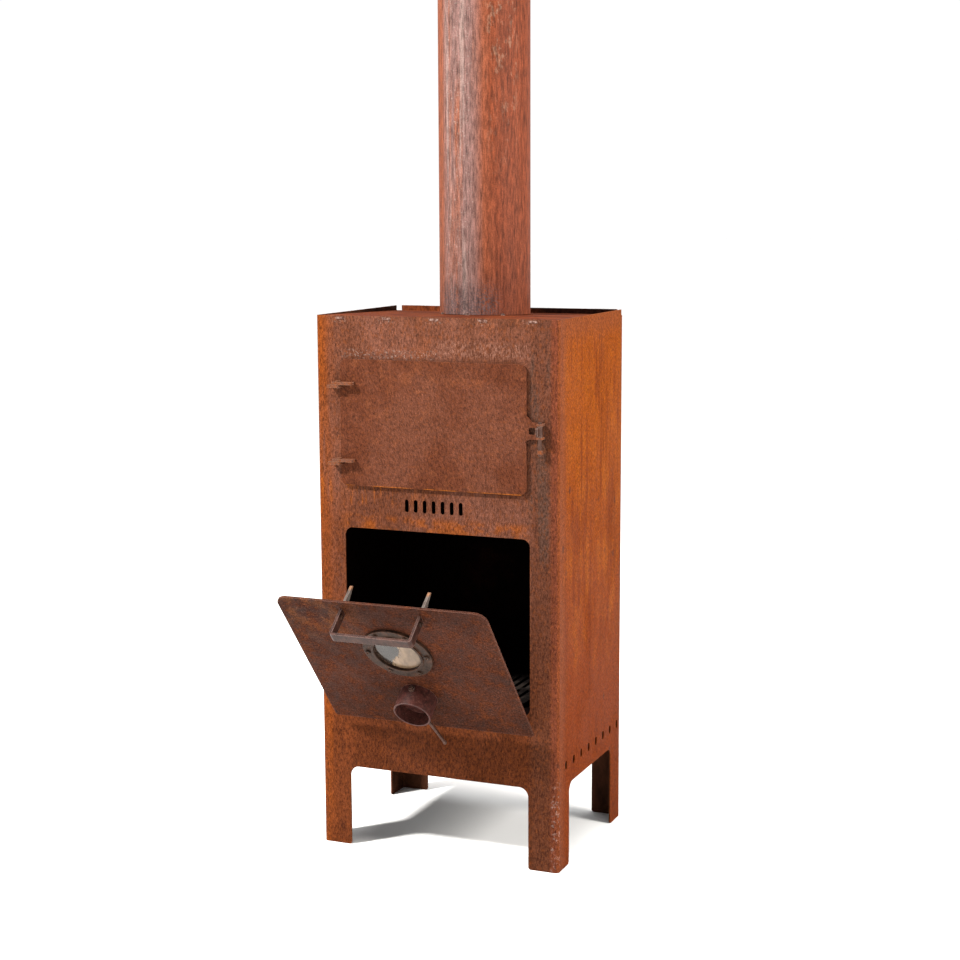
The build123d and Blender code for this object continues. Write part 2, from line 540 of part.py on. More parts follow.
def make_grate():
    """Cast grate lying over the floor's opening."""
    length, width, bar, gap, thick = 284.0, 204.0, 10.0, 8.0, 9.0
    grate = extrude(RectangleRounded(length, width, 8), thick)
    count = int((length - 2 * bar) // (bar + gap))
    for index in range(count):
        x = (index - (count - 1) / 2.0) * (bar + gap)
        for side in (-1, 1):
            slot_length = width / 2.0 - bar - bar / 2.0
            slot_y = side * (slot_length / 2.0 + bar / 2.0)
            grate -= Pos(x, slot_y, 0) * extrude(SlotOverall(slot_length, gap, rotation=90), thick)
    return Pos(0, 0, FIRE_FLOOR_TOP) * grate


def make_heat_shield():
    """Plate held off the rear panel in the firebox, and its four spacers."""
    half, low, high, stand_off = 102.0, 300.0, 620.0, 9.0
    panel_face = DEPTH - 2 * SHEET
    outline = Pos(0, (low + high) / 2.0) * RectangleRounded(2 * half, high - low, 4)
    shield = slab(outline, panel_face - stand_off, SHEET)
    spacers = []
    for x in (-half + 20, half - 20):
        for z in (low + 25, high - 25):
            spacers.append(slab(Pos(x, z) * Circle(7.0), panel_face, stand_off))
    return shield, spacers


def make_oven():
    """Support angles, floor, casing and back of the oven, the stone, the rails and the rack."""
    y_front, y_back = behind_front(SHEET + FLOOR_GAP), behind_front(OVEN_DEPTH)
    floor_low = OVEN_FLOOR_TOP - SHEET
    inner, angle_leg = INNER_HALF_WIDTH, 25.0
    angles, rails = [], []
    rail_y = (behind_front(20.0), y_back - SHEET - 4.0)
    for side in (-1, 1):
        shelf = block(sorted((side * (inner - angle_leg), side * inner)),
                      (behind_front(12.0), y_back), (floor_low - SHEET, floor_low))
        web = block(sorted((side * (inner - SHEET), side * inner)),
                    (behind_front(12.0), y_back), (floor_low - angle_leg, floor_low))
        angles.append(shelf + web)
        wall = OVEN_HALF_WIDTH - SHEET
        ledge = block(sorted((side * (wall - 14.0), side * wall)), rail_y, (RACK_Z - 2.0, RACK_Z))
        lip = block(sorted((side * (wall - 2.0), side * wall)), rail_y, (RACK_Z - 14.0, RACK_Z))
        rails.append(ledge + lip)
    floor_half = inner - 6.0
    floor = block((-floor_half, floor_half), (y_front, y_back), (floor_low, OVEN_FLOOR_TOP))
    outer_box = block((-OVEN_HALF_WIDTH, OVEN_HALF_WIDTH), (y_front, y_back),
                      (OVEN_FLOOR_TOP, OVEN_CEILING))
    inside_half = OVEN_HALF_WIDTH - SHEET
    hollow = block((-inside_half, inside_half), (y_front - 1, y_back + 1),
                   (OVEN_FLOOR_TOP - 1, OVEN_CEILING - SHEET))
    back_y = (y_back - SHEET, y_back)
    back = block((-inside_half, inside_half), back_y, (OVEN_FLOOR_TOP, OVEN_CEILING - SHEET))
    stone = extrude(RectangleRounded(390, 270, 6), STONE_THICKNESS)
    stone = chamfer(stone.edges().group_by(Axis.Z)[-1], 2.0)
    stone = Pos(0, (y_front + y_back) / 2.0 - 2.0, OVEN_FLOOR_TOP) * stone
    return angles, floor, outer_box - hollow, back, stone, rails


def make_cooking_rack():
    """Welded round-bar rack: a frame with bars across it."""
    half_x, half_y, frame_r, bar_r, count = 190.0, 125.0, 3.0, 2.0, 17
    centre_y, z = behind_front(155.0), RACK_Z + frame_r
    corners = [(sx * half_x, centre_y + sy * half_y, z)
               for sx, sy in ((-1, -1), (1, -1), (1, 1), (-1, 1))]
    rack = Part()
    for index, corner in enumerate(corners):
        rack += rod_between(corner, corners[(index + 1) % 4], frame_r)
        rack += Pos(*corner) * Sphere(frame_r)
    for index in range(count):
        x = (index - (count - 1) / 2.0) * 2 * half_x / (count + 1)
        rack += rod_between((x, centre_y - half_y, z), (x, centre_y + half_y, z), bar_r)
    return rack


# ---- Write every sub-part ----------------------------------------------------------------
save("body_shell", make_body_shell())
save("rear_panel", make_rear_panel())
save("top_plate", make_top_plate())
save("tack_welds", *make_tack_welds())
save("chimney_collar", make_chimney_collar())
save("chimney_pipe", make_chimney_pipe())
save("pipe_welds", *make_pipe_welds())

save("upper_door_plate", make_upper_door_plate())
door_tabs, body_tabs, hinge_pins = make_upper_hinges()
save("upper_hinge_door_tabs", *door_tabs)
save("upper_hinge_body_tabs", *body_tabs)
save("upper_hinge_pins", *hinge_pins)
latch_ears, latch_spindle, latch_flag, latch_grip = make_latch()
save("latch_ears", *latch_ears)
save("latch_spindle", latch_spindle)
save("latch_flag", latch_flag)
save("latch_grip", latch_grip)

save("lower_door_plate", REST * make_lower_door_plate())
screws, screw_holes = make_handle_screws()
handle = make_handle()
for hole in screw_holes:
    handle -= hole
save("door_handle", REST * handle)
save("handle_screws", *[REST * screw for screw in screws])
window_names = ("window_ring", "window_glass", "window_gasket", "window_back_ring",
                "window_bolts", "window_nuts")
for name, group in zip(window_names, make_window()):
    save(name, *[REST * shape for shape in group])
inlet, spindle, wing, spindle_collars = make_air_inlet()
save("air_inlet_tube", REST * inlet)
save("damper_spindle", REST * spindle)
save("damper_disc", REST * wing)
save("damper_collars", *[REST * collar for collar in spindle_collars])
save("lower_hinge_arms", *[REST * arm for arm in make_hinge_arms()])
hinge_rod, hinge_ears, rod_collars = make_hinge_rod()
save("lower_hinge_rod", hinge_rod)
save("lower_hinge_ears", *hinge_ears)
save("lower_hinge_collars", *rod_collars)

bottom_plate, ash_tray = make_bottom_and_ash_tray()
save("bottom_plate", bottom_plate)
save("ash_tray", ash_tray)
save("firebox_floor", make_firebox_floor())
save("fire_grate", make_grate())
heat_shield, shield_spacers = make_heat_shield()
save("heat_shield", heat_shield)
save("heat_shield_spacers", *shield_spacers)
support_angles, oven_floor, oven_casing, oven_back, baking_stone, rack_rails = make_oven()
save("oven_support_angles", *support_angles)
save("oven_floor", oven_floor)
save("oven_casing", oven_casing)
save("oven_back", oven_back)
save("baking_stone", baking_stone)
save("rack_rails", *rack_rails)
save("cooking_rack", make_cooking_rack())
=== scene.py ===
"""Looks of a weathering-steel garden chiminea: materials, studio light and camera."""
import json
import math

import bpy
from mathutils import Matrix, Vector


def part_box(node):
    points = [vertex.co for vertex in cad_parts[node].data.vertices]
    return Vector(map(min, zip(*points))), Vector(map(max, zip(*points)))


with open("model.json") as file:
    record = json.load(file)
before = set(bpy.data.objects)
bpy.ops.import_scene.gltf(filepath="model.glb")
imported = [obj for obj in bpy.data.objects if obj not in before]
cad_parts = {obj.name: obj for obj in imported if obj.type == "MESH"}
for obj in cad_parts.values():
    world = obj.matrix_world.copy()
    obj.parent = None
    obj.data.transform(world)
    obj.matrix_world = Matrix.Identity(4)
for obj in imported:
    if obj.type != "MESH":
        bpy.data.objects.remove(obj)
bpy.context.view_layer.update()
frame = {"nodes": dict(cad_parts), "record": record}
NODES = frame["nodes"]
SCENE = bpy.context.scene

BODY_LOW, BODY_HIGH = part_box("body_shell")
PIPE_LOW, PIPE_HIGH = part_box("chimney_pipe")
PIPE_R = (PIPE_HIGH.x - PIPE_LOW.x) / 2
PIPE_Y = (PIPE_HIGH.y + PIPE_LOW.y) / 2
FRONT = BODY_LOW.y
SIDE = BODY_HIGH.x
TOP = BODY_HIGH.z


# ---- Shader helper -----------------------------------------------------------------------
STUDIO_GAIN = 2.7                    # how much brighter than its base colour a lit face looks
RUST_GLOSS = 0.03                    # rust hardly mirrors anything


def seen(red, green, blue):
    """Base colour of a face that looks like this 8-bit sRGB colour in the studio's light."""
    def channel(value):
        value /= 255.0
        value = value / 12.92 if value <= 0.04045 else ((value + 0.055) / 1.055) ** 2.4
        return value / STUDIO_GAIN
    return (channel(red), channel(green), channel(blue), 1.0)


class Shader:
    """A material under construction: each method adds a node and returns its output socket."""

    def __init__(self, name, gloss=RUST_GLOSS):
        self.material = bpy.data.materials.new(name)
        self.material.use_nodes = True
        self.tree = self.material.node_tree
        self.surface = self.tree.nodes["Principled BSDF"]
        self.surface.inputs["Specular IOR Level"].default_value = gloss
        self.coords = self.add("ShaderNodeTexCoord").outputs["Object"]
        self.place = self.add("ShaderNodeSeparateXYZ", {"Vector": self.coords})
        self.x, self.y, self.z = self.place.outputs

    def add(self, kind, inputs=None, **settings):
        node = self.tree.nodes.new(kind)
        for key, value in settings.items():
            setattr(node, key, value)
        for key, value in (inputs or {}).items():
            self.feed(node.inputs[key], value)
        return node

    def feed(self, socket, value):
        if isinstance(value, bpy.types.NodeSocket):
            self.tree.links.new(value, socket)
        elif value is not None:
            socket.default_value = value[:3] if socket.type == "VECTOR" else value

    def math(self, operation, first, second=None):
        node = self.add("ShaderNodeMath", operation=operation)
        self.feed(node.inputs[0], first)
        self.feed(node.inputs[1], second)
        return node.outputs[0]

    def plus(self, first, second):
        return self.math("ADD", first, second)

    def minus(self, first, second):
        return self.math("SUBTRACT", first, second)

    def times(self, first, second):
        return self.math("MULTIPLY", first, second)

    def size(self, value):
        return self.math("ABSOLUTE", value)

    def both(self, *masks):
        """Product of several masks."""
        result = masks[0]
        for mask in masks[1:]:
            result = self.times(result, mask)
        return result

    def step(self, value, low, high):
        """0 below low, 1 above high, smooth between; with low above high, the other way."""
        bottom, top = sorted((low, high))
        node = self.add("ShaderNodeMapRange", interpolation_type="SMOOTHSTEP")
        self.feed(node.inputs["Value"], value)
        for key, number in (("From Min", bottom), ("From Max", top),
                            ("To Min", float(low > high)), ("To Max", float(low < high))):
            node.inputs[key].default_value = number
        return node.outputs["Result"]

    def band(self, value, low, high, soft):
        """1 between low and high, fading out over soft on both sides."""
        return self.times(self.step(value, low - soft, low), self.step(value, high + soft, high))

    def stretched(self, stretch, shift=(0.0, 0.0, 0.0)):
        mapping = self.add("ShaderNodeMapping", {"Vector": self.coords, "Scale": stretch,
                                                 "Location": shift})
        return mapping.outputs[0]

    def noise(self, scale, detail=4.0, rough=0.55, stretch=(1, 1, 1), shift=(0, 0, 0)):
        vector = self.stretched(stretch, shift)
        node = self.add("ShaderNodeTexNoise", {
            "Vector": vector, "Scale": scale, "Detail": detail, "Roughness": rough})
        return node.outputs["Fac"]

    def cells(self, scale, stretch=(1, 1, 1), shift=(0, 0, 0)):
        """Distance to the nearest cell point."""
        node = self.add("ShaderNodeTexVoronoi", {
            "Vector": self.stretched(stretch, shift), "Scale": scale})
        return node.outputs["Distance"]

    def mix(self, mask, first, second):
        node = self.add("ShaderNodeMix", data_type="RGBA")
        self.feed(node.inputs[0], mask)
        self.feed(node.inputs[6], first)
        self.feed(node.inputs[7], second)
        return node.outputs[2]

    def between(self, mask, first, second):
        """A number that goes from first to second with the mask."""
        node = self.add("ShaderNodeMix", data_type="FLOAT")
        self.feed(node.inputs[0], mask)
        self.feed(node.inputs[2], first)
        self.feed(node.inputs[3], second)
        return node.outputs[0]

    def shade(self, color, noise, amount):
        """Lighten and darken a colour by a noise; most of it stays within amount each way."""
        factor = self.plus(1.0, self.times(self.minus(noise, 0.5), 5.0 * amount))
        node = self.add("ShaderNodeVectorMath", operation="SCALE")
        self.feed(node.inputs[0], color)
        self.feed(node.inputs["Scale"], self.math("MAXIMUM", factor, 0.05))
        return node.outputs[0]

    def edges(self, radius):
        """Mask that is 1 along sharp edges and 0 on flat faces."""
        rounded = self.add("ShaderNodeBevel", {"Radius": radius}, samples=4).outputs[0]
        flat = self.add("ShaderNodeNewGeometry").outputs["Normal"]
        dot = self.add("ShaderNodeVectorMath", operation="DOT_PRODUCT")
        self.feed(dot.inputs[0], rounded)
        self.feed(dot.inputs[1], flat)
        return self.step(dot.outputs["Value"], 0.985, 0.90)

    def finish(self, color, roughness, height=None, distance=0.0005, metallic=None):
        self.feed(self.surface.inputs["Base Color"], color)
        self.feed(self.surface.inputs["Roughness"], roughness)
        self.feed(self.surface.inputs["Metallic"], metallic)
        if height is not None:
            bump = self.add("ShaderNodeBump", {"Height": height, "Distance": distance,
                                               "Strength": 1.0})
            self.feed(self.surface.inputs["Normal"], bump.outputs[0])
        return self.material


# ---- Rust --------------------------------------------------------------------------------
BRIGHT_ORANGE = seen(214, 118, 38)
PALE_SCALE = seen(206, 186, 174)
# Pinkish edge colour: rubbed wear, and partly a painted edge highlight
PINK_WEAR_AND_HIGHLIGHT = seen(190, 140, 124)
SOOT = seen(26, 10, 7)


def rust_height(shader, pits=420.0, strength=0.5):
    """Relief of rust: small pits over a slow swell."""
    fine = shader.noise(pits, 5.0, 0.65)
    swell = shader.noise(60.0, 3.0, 0.5, shift=(3, 1, 2))
    return shader.plus(shader.times(fine, strength), shader.times(swell, 0.35))


def strokes(shader, width, shift=(0, 0, 0), length=0.30):
    """Short upright strokes of rust; width is strokes per metre."""
    return shader.noise(width, 4.0, 0.68, stretch=(1.0, 1.0, length), shift=shift)


def runs(shader, width, shift=(0, 0, 0)):
    """Long upright runs left by rain."""
    return shader.noise(width, 4.0, 0.6, stretch=(1.0, 1.0, 0.09), shift=shift)


def body_material():
    """Folded shell: purplish front, orange sides, runs and pale wear, sooty inside; painted shade on
    the low and right front, and edges lightened partly as painted highlight.
    """
    s = Shader("corten_body")
    fold = 0.008
    grain = strokes(s, 420.0, (0, 0, 0), 0.45)
    fine = s.noise(800.0, 4.0, 0.7)
    broad = s.noise(5.0, 5.0, 0.6, stretch=(1, 1, 0.6))
    blotch = s.noise(30.0, 5.0, 0.65, stretch=(1, 1, 0.45), shift=(2, 2, 2))
    drips = runs(s, 46.0, (4, 0, 0))
    past_x = s.minus(s.size(s.x), SIDE - fold)
    past_y = s.minus(s.size(s.y), -FRONT - fold)
    side_mask = s.step(s.minus(past_x, past_y), -0.004, 0.001)
    near_front = s.step(s.y, 0.0, -0.02)

    # Front: purplish brown, with painted shade on the strip by the right fold, and darker, redder
    # rust towards the legs whose darkening is partly painted shade from the doors
    front = s.mix(s.step(broad, 0.42, 0.60), seen(146, 92, 72), seen(128, 76, 54))
    front = s.mix(s.times(s.step(blotch, 0.52, 0.68), 0.6), front, seen(158, 92, 62))
    # Darker and redder towards the legs: redder rust, with darkening that is partly painted shade as
    # if cast by the doors above
    low_rust_and_shade = s.step(s.z, 0.62, 0.24)
    front = s.mix(s.times(low_rust_and_shade, 0.9), front, seen(108, 54, 26))
    # Painted shade: the front from here to the right fold is darkened as if in shadow
    right_shade_strip = s.step(s.x, 0.176, 0.196)
    front = s.mix(s.times(right_shade_strip, 0.7), front, seen(112, 66, 46))
    grey_patch = s.both(s.step(s.x, 0.178, 0.190), s.step(s.x, 0.226, 0.218),
                        s.band(s.z, 0.60, 0.92, 0.05), s.step(drips, 0.46, 0.58))
    front = s.mix(s.times(grey_patch, 0.5), front, seen(96, 78, 68))
    fold_strip = s.step(s.x, 0.221, 0.229)
    front = s.mix(s.times(fold_strip, 0.85), front, seen(138, 72, 48))
    warm = s.both(s.step(s.x, -0.196, -0.234), s.step(drips, 0.28, 0.55))
    front = s.mix(warm, front, seen(164, 82, 30))
    warm_low = s.both(s.step(s.x, -0.150, -0.200), s.step(s.z, 0.70, 0.55),
                      s.step(blotch, 0.38, 0.56))
    front = s.mix(s.times(warm_low, 0.55), front, seen(150, 78, 40))
    lip = s.both(s.band(s.z, 0.619, 0.634, 0.016), s.step(s.size(s.x), 0.20, 0.17),
                 s.step(s.noise(22.0, 5.0, 0.65), 0.44, 0.58))
    front = s.mix(s.times(lip, 0.7), front, seen(186, 96, 30))
    below_door = s.both(s.band(s.z, 0.672, 0.698, 0.016), s.step(s.x, 0.02, -0.14),
                        s.step(runs(s, 90.0, (1, 1, 0)), 0.50, 0.62))
    front = s.mix(s.times(below_door, 0.8), front, seen(200, 106, 40))

    # Sides: bright orange with a wood-like upright grain, redder lower down and by the fold
    side_low = s.step(s.z, 0.92, 0.25)
    side = s.mix(side_low, seen(168, 82, 16), seen(140, 58, 8))
    bright = s.both(s.step(blotch, 0.46, 0.66), s.band(s.z, 0.45, 0.90, 0.2))
    side = s.mix(s.times(bright, 0.5), side, seen(188, 98, 18))
    side = s.mix(s.times(s.step(drips, 0.48, 0.62), 0.6), side, seen(122, 50, 14))
    by_fold = s.both(s.step(s.y, FRONT + 0.050, FRONT + 0.014), near_front)
    side = s.mix(s.times(by_fold, 0.75), side, seen(146, 78, 48))
    under_top = s.step(s.z, 0.955, 1.0)
    side = s.mix(s.times(under_top, 0.6), side, seen(150, 80, 46))
    color = s.mix(side_mask, front, side)
    dark_spot = s.step(s.cells(17.0, (1, 1, 0.6), (3, 1, 7)), 0.095, 0.05)
    color = s.mix(s.both(dark_spot, side_mask, 0.7), color, seen(84, 52, 42))

    # Rear: dull orange brown
    rear = s.mix(s.step(blotch, 0.42, 0.60), seen(168, 88, 44), seen(136, 70, 40))
    color = s.mix(s.both(s.step(s.y, -FRONT - 0.006, -FRONT - 0.002),
                         s.step(side_mask, 0.6, 0.4)), color, rear)

    # Pale flecks low on the front right fold, above the upper door and round the tack welds
    on_front = s.step(s.y, FRONT + 0.004, FRONT + 0.001)
    flecks = s.step(s.noise(230.0, 5.0, 0.75), 0.54, 0.62)
    leg_wear = s.both(s.band(s.x, 0.228, 0.2405, 0.004), s.step(s.y, FRONT + 0.014, FRONT + 0.008),
                      s.step(s.z, 0.22, 0.12), s.step(s.noise(120.0, 5.0, 0.75), 0.53, 0.62))
    over_door = s.both(s.band(s.z, 0.938, 0.946, 0.009), s.band(s.x, -0.170, -0.005, 0.03), flecks)
    smear = s.both(s.band(s.z, 0.946, 0.964, 0.01), s.band(s.x, 0.03, 0.16, 0.04),
                   s.step(grain, 0.46, 0.62))
    from_weld = s.size(s.minus(s.math("PINGPONG", s.plus(s.x, 1.0), 0.0475), 0.0475))
    high_wear = s.both(s.band(s.z, TOP - 0.011, TOP - 0.003, 0.004), s.step(from_weld, 0.024, 0.006),
                       flecks)
    for mask, amount in ((s.times(over_door, on_front), 0.5), (s.times(smear, on_front), 0.10),
                         (s.times(high_wear, on_front), 0.35), (leg_wear, 0.4)):
        color = s.mix(s.times(mask, amount), color, PALE_SCALE)

    color = s.shade(color, grain, 0.70)
    color = s.shade(color, fine, 0.70)
    tint = s.both(s.step(s.noise(170.0, 5.0, 0.7, (1, 1, 0.6), (9, 4, 1)), 0.52, 0.62), 0.35)
    color = s.mix(tint, color, seen(168, 88, 40))
    corner = s.add("ShaderNodeCombineXYZ")
    s.feed(corner.inputs[0], s.math("MAXIMUM", past_x, 0.0))
    s.feed(corner.inputs[1], s.math("MAXIMUM", past_y, 0.0))
    skin = s.add("ShaderNodeVectorMath", {"Vector": corner.outputs[0]}, operation="LENGTH")
    inside = s.step(skin.outputs["Value"], fold - 0.0012, fold - 0.0022)
    rusty = s.math("MAXIMUM", s.step(s.z, 0.22, 0.15), s.step(s.z, TOP - 0.020, TOP - 0.014))
    lining = s.mix(rusty, SOOT, s.shade(seen(92, 54, 36), blotch, 0.6))
    color = s.mix(inside, color, lining)
    # Edges lightened: rubbed wear, and partly a painted edge highlight
    rubbed_and_highlit_edges = s.both(s.edges(0.0012), s.step(s.noise(90.0, 3.0), 0.40, 0.6))
    color = s.mix(s.times(rubbed_and_highlit_edges, 0.5), color, seen(206, 128, 78))
    roughness = s.between(s.step(broad, 0.35, 0.65), 0.60, 0.78)
    height = s.plus(rust_height(s), s.times(grain, 0.5))
    return s.finish(color, roughness, height, 0.0008)


def rear_panel_material():
    """Rear sheet: orange-brown outside, sooty inside, with a rusty lip above the top plate whose
    inner face carries a painted shadow on its right, and top edges lightened partly as painted
    highlight.
    """
    s = Shader("corten_rear")
    grain = strokes(s, 240.0, (7, 2, 0))
    blotch = s.noise(26.0, 5.0, 0.65, stretch=(1, 1, 0.5), shift=(5, 1, 1))
    outside = s.mix(s.step(blotch, 0.40, 0.62), seen(170, 88, 42), seen(134, 68, 38))
    outside = s.mix(s.step(runs(s, 40.0, (3, 3, 0)), 0.52, 0.66), outside, seen(120, 66, 44))
    # Painted shadow: the lip's inner face is orange on the left and dark on the right, as if shaded
    lip_inside_painted_shadow = s.mix(s.step(s.x, -0.02, 0.10), seen(150, 76, 42), seen(64, 34, 24))
    inner = s.mix(s.step(s.z, TOP - 0.016, TOP - 0.012), SOOT, lip_inside_painted_shadow)
    color = s.mix(s.step(s.y, -FRONT - 0.0045, -FRONT - 0.0036), inner, outside)
    color = s.shade(color, grain, 0.7)
    color = s.shade(color, s.noise(600.0, 3.0, 0.65), 0.3)
    # Top edges lightened: rubbed wear, and partly a painted edge highlight
    rubbed_and_highlit_edges = s.both(s.edges(0.0012), s.step(s.z, TOP - 0.01, TOP - 0.002))
    color = s.mix(s.times(rubbed_and_highlit_edges, 0.7), color, seen(190, 112, 66))
    height = s.plus(rust_height(s), s.times(grain, 0.4))
    return s.finish(color, 0.72, height, 0.0008)


def upper_door_material():
    """Oven door: purplish brown with fine slanting strokes, an orange lower edge, and edges
    lightened partly as painted highlight.
    """
    s = Shader("corten_upper_door")
    slanted = s.add("ShaderNodeMapping", {"Vector": s.coords, "Rotation": (0.0, 0.30, 0.0)})
    stretched = s.add("ShaderNodeMapping", {"Vector": slanted.outputs[0], "Scale": (1, 1, 0.45)})
    grain = s.add("ShaderNodeTexNoise", {"Vector": stretched.outputs[0], "Scale": 420.0,
                                         "Detail": 4.0, "Roughness": 0.68}).outputs["Fac"]
    broad = s.noise(7.0, 5.0, 0.6, shift=(1, 5, 3))
    blotch = s.noise(34.0, 5.0, 0.65, shift=(6, 1, 0))
    color = s.mix(s.step(broad, 0.42, 0.62), seen(134, 80, 59), seen(120, 66, 44))
    color = s.mix(s.times(s.step(blotch, 0.52, 0.66), 0.55), color, seen(152, 88, 58))
    low_edge = s.both(s.band(s.z, 0.6975, 0.6988, 0.0016), s.step(s.noise(18.0, 4.0), 0.40, 0.55))
    color = s.mix(s.times(low_edge, 0.9), color, BRIGHT_ORANGE)
    color = s.shade(color, grain, 0.60)
    color = s.shade(color, s.noise(850.0, 4.0, 0.7), 0.70)
    tint = s.both(s.step(s.noise(190.0, 5.0, 0.7, shift=(2, 9, 1)), 0.52, 0.62), 0.35)
    color = s.mix(tint, color, seen(166, 88, 44))
    # Edges lightened: rubbed wear, and partly a painted edge highlight
    rubbed_and_highlit_edges = s.both(s.edges(0.0010), s.step(s.noise(80.0, 3.0), 0.3, 0.55))
    color = s.mix(s.times(rubbed_and_highlit_edges, 0.45), color, seen(186, 128, 98))
    color = s.mix(s.step(s.y, FRONT - 0.0036, FRONT - 0.0030), color, SOOT)
    height = s.plus(rust_height(s), s.times(grain, 0.5))
    return s.finish(color, 0.66, height, 0.0007)


def lower_door_material():
    """Fire door: dark mottled brown, rust blooms, pinkish edges that are partly wear and partly a
    painted highlight.
    """
    s = Shader("corten_lower_door")
    broad = s.noise(8.0, 5.0, 0.6, shift=(3, 3, 1))
    bloom = s.noise(38.0, 8.0, 0.72, shift=(1, 0, 4))
    speckle = s.noise(330.0, 5.0, 0.7)
    color = s.mix(s.step(broad, 0.40, 0.60), seen(104, 58, 40), seen(86, 48, 34))
    color = s.mix(s.both(s.step(bloom, 0.50, 0.66), 0.55), color, seen(136, 70, 34))
    color = s.mix(s.both(s.step(bloom, 0.47, 0.34), 0.6), color, seen(72, 48, 41))
    upper_left = s.both(s.step(s.x, 0.02, -0.14), s.step(s.z, 0.40, 0.50),
                        s.step(s.noise(26.0, 5.0, 0.7), 0.44, 0.60))
    color = s.mix(s.times(upper_left, 0.55), color, seen(142, 86, 50))
    color = s.shade(color, speckle, 0.85)
    color = s.shade(color, s.noise(700.0, 3.0, 0.7), 0.45)
    pale = s.both(s.step(speckle, 0.60, 0.70), s.step(s.noise(18.0, 3.0), 0.46, 0.60))
    color = s.mix(s.times(pale, 0.5), color, seen(168, 134, 114))
    # Pinkish edges: partly wear, partly a painted edge highlight
    color = s.mix(s.times(s.edges(0.0016), 0.9), color, PINK_WEAR_AND_HIGHLIGHT)
    roughness = s.between(s.step(bloom, 0.42, 0.60), 0.50, 0.75)
    return s.finish(color, roughness, rust_height(s, 360.0, 0.7), 0.0009)


def pipe_material():
    """Chimney: orange-red rust with a grey scale band that is partly a painted highlight, pale
    flakes and a grey speckled foot.
    """
    s = Shader("corten_pipe", gloss=0.10)
    grain = strokes(s, 240.0, (5, 0, 0), 0.16)
    streak = s.noise(30.0, 5.0, 0.65, stretch=(1, 1, 0.05), shift=(0, 8, 0))
    thin = s.noise(110.0, 3.0, 0.6, stretch=(1, 1, 0.02), shift=(4, 4, 0))
    speckle = s.noise(300.0, 5.0, 0.7)
    across = s.minus(s.y, PIPE_Y)

    def facing(degrees_round, outer, inner):
        """Mask round the pipe, centred on a direction seen from above."""
        angle = math.radians(degrees_round)
        along = s.plus(s.times(s.x, math.cos(angle)), s.times(across, math.sin(angle)))
        return s.step(along, PIPE_R * math.cos(math.radians(outer)),
                      PIPE_R * math.cos(math.radians(inner)))

    color = s.mix(s.step(streak, 0.42, 0.62), seen(172, 98, 68), seen(158, 82, 50))
    color = s.mix(s.both(facing(-20, 62, 20), 0.7), color, seen(152, 72, 42))
    # Grey-purple band on the left of the pipe: mill scale, and partly a painted highlight standing
    # in for the key light's sheen
    scale_and_sheen_band = s.both(facing(-101, 34, 12), s.step(streak, 0.26, 0.46))
    color = s.mix(s.times(scale_and_sheen_band, 0.85), color, seen(160, 124, 118))
    # Pale streaks in that band: part of the same painted highlight, on top of scale
    scale_and_sheen_lines = s.both(facing(-100, 30, 16), s.step(thin, 0.54, 0.64))
    color = s.mix(s.times(scale_and_sheen_lines, 0.55), color, seen(200, 170, 160))
    white_specks = s.both(facing(-104, 30, 10), s.step(speckle, 0.58, 0.66))
    color = s.mix(s.times(white_specks, 0.75), color, PALE_SCALE)
    flakes = s.noise(60.0, 8.0, 0.78, stretch=(1, 1, 0.5), shift=(2, 2, 2))
    flaky = s.both(facing(-44, 26, 12), s.step(s.z, 1.20, 1.55), s.step(flakes, 0.52, 0.60))
    color = s.mix(s.times(flaky, 0.55), color, seen(204, 158, 130))
    foot = s.both(s.step(s.z, 1.09, 1.03), facing(-92, 52, 24), s.step(speckle, 0.42, 0.55))
    color = s.mix(s.times(foot, 0.85), color, seen(116, 96, 96))
    color = s.shade(color, grain, 0.60)
    color = s.shade(color, s.noise(620.0, 3.0, 0.6), 0.35)
    square_x, square_y = s.times(s.x, s.x), s.times(across, across)
    radius = s.math("SQRT", s.plus(square_x, square_y))
    color = s.mix(s.step(radius, PIPE_R - 0.0012, PIPE_R - 0.0020), color, SOOT)
    roughness = s.between(scale_and_sheen_band, 0.60, 0.42)
    return s.finish(color, roughness, s.plus(rust_height(s), s.times(grain, 0.4)), 0.0008)


def top_material():
    """Top plate: fine orange rust with darker water marks."""
    s = Shader("corten_top")
    broad = s.noise(14.0, 5.0, 0.65)
    marks = s.noise(34.0, 4.0, 0.6, stretch=(0.25, 1, 1))
    color = s.mix(s.step(broad, 0.42, 0.60), seen(158, 80, 46), seen(128, 62, 40))
    color = s.mix(s.both(s.step(marks, 0.50, 0.62), 0.6), color, seen(98, 50, 34))
    color = s.shade(color, s.noise(420.0, 5.0, 0.7), 0.6)
    return s.finish(color, 0.78, rust_height(s), 0.0008)


def small_part_material():
    """Hinge tabs, latch ears and arms: brown rust, orange in places, with edges lightened partly as
    painted highlight.
    """
    s = Shader("corten_small")
    mottle = s.noise(160.0, 5.0, 0.7)
    color = s.mix(s.step(mottle, 0.42, 0.60), seen(142, 96, 78), seen(162, 92, 56))
    color = s.shade(color, s.noise(700.0, 4.0, 0.7), 0.5)
    # Edges lightened: rubbed wear, and partly a painted edge highlight
    rubbed_and_highlit_edges = s.both(s.edges(0.0010), s.step(mottle, 0.35, 0.55))
    color = s.mix(s.times(rubbed_and_highlit_edges, 0.8), color, seen(220, 172, 140))
    return s.finish(color, 0.58, rust_height(s, 600.0), 0.0005)


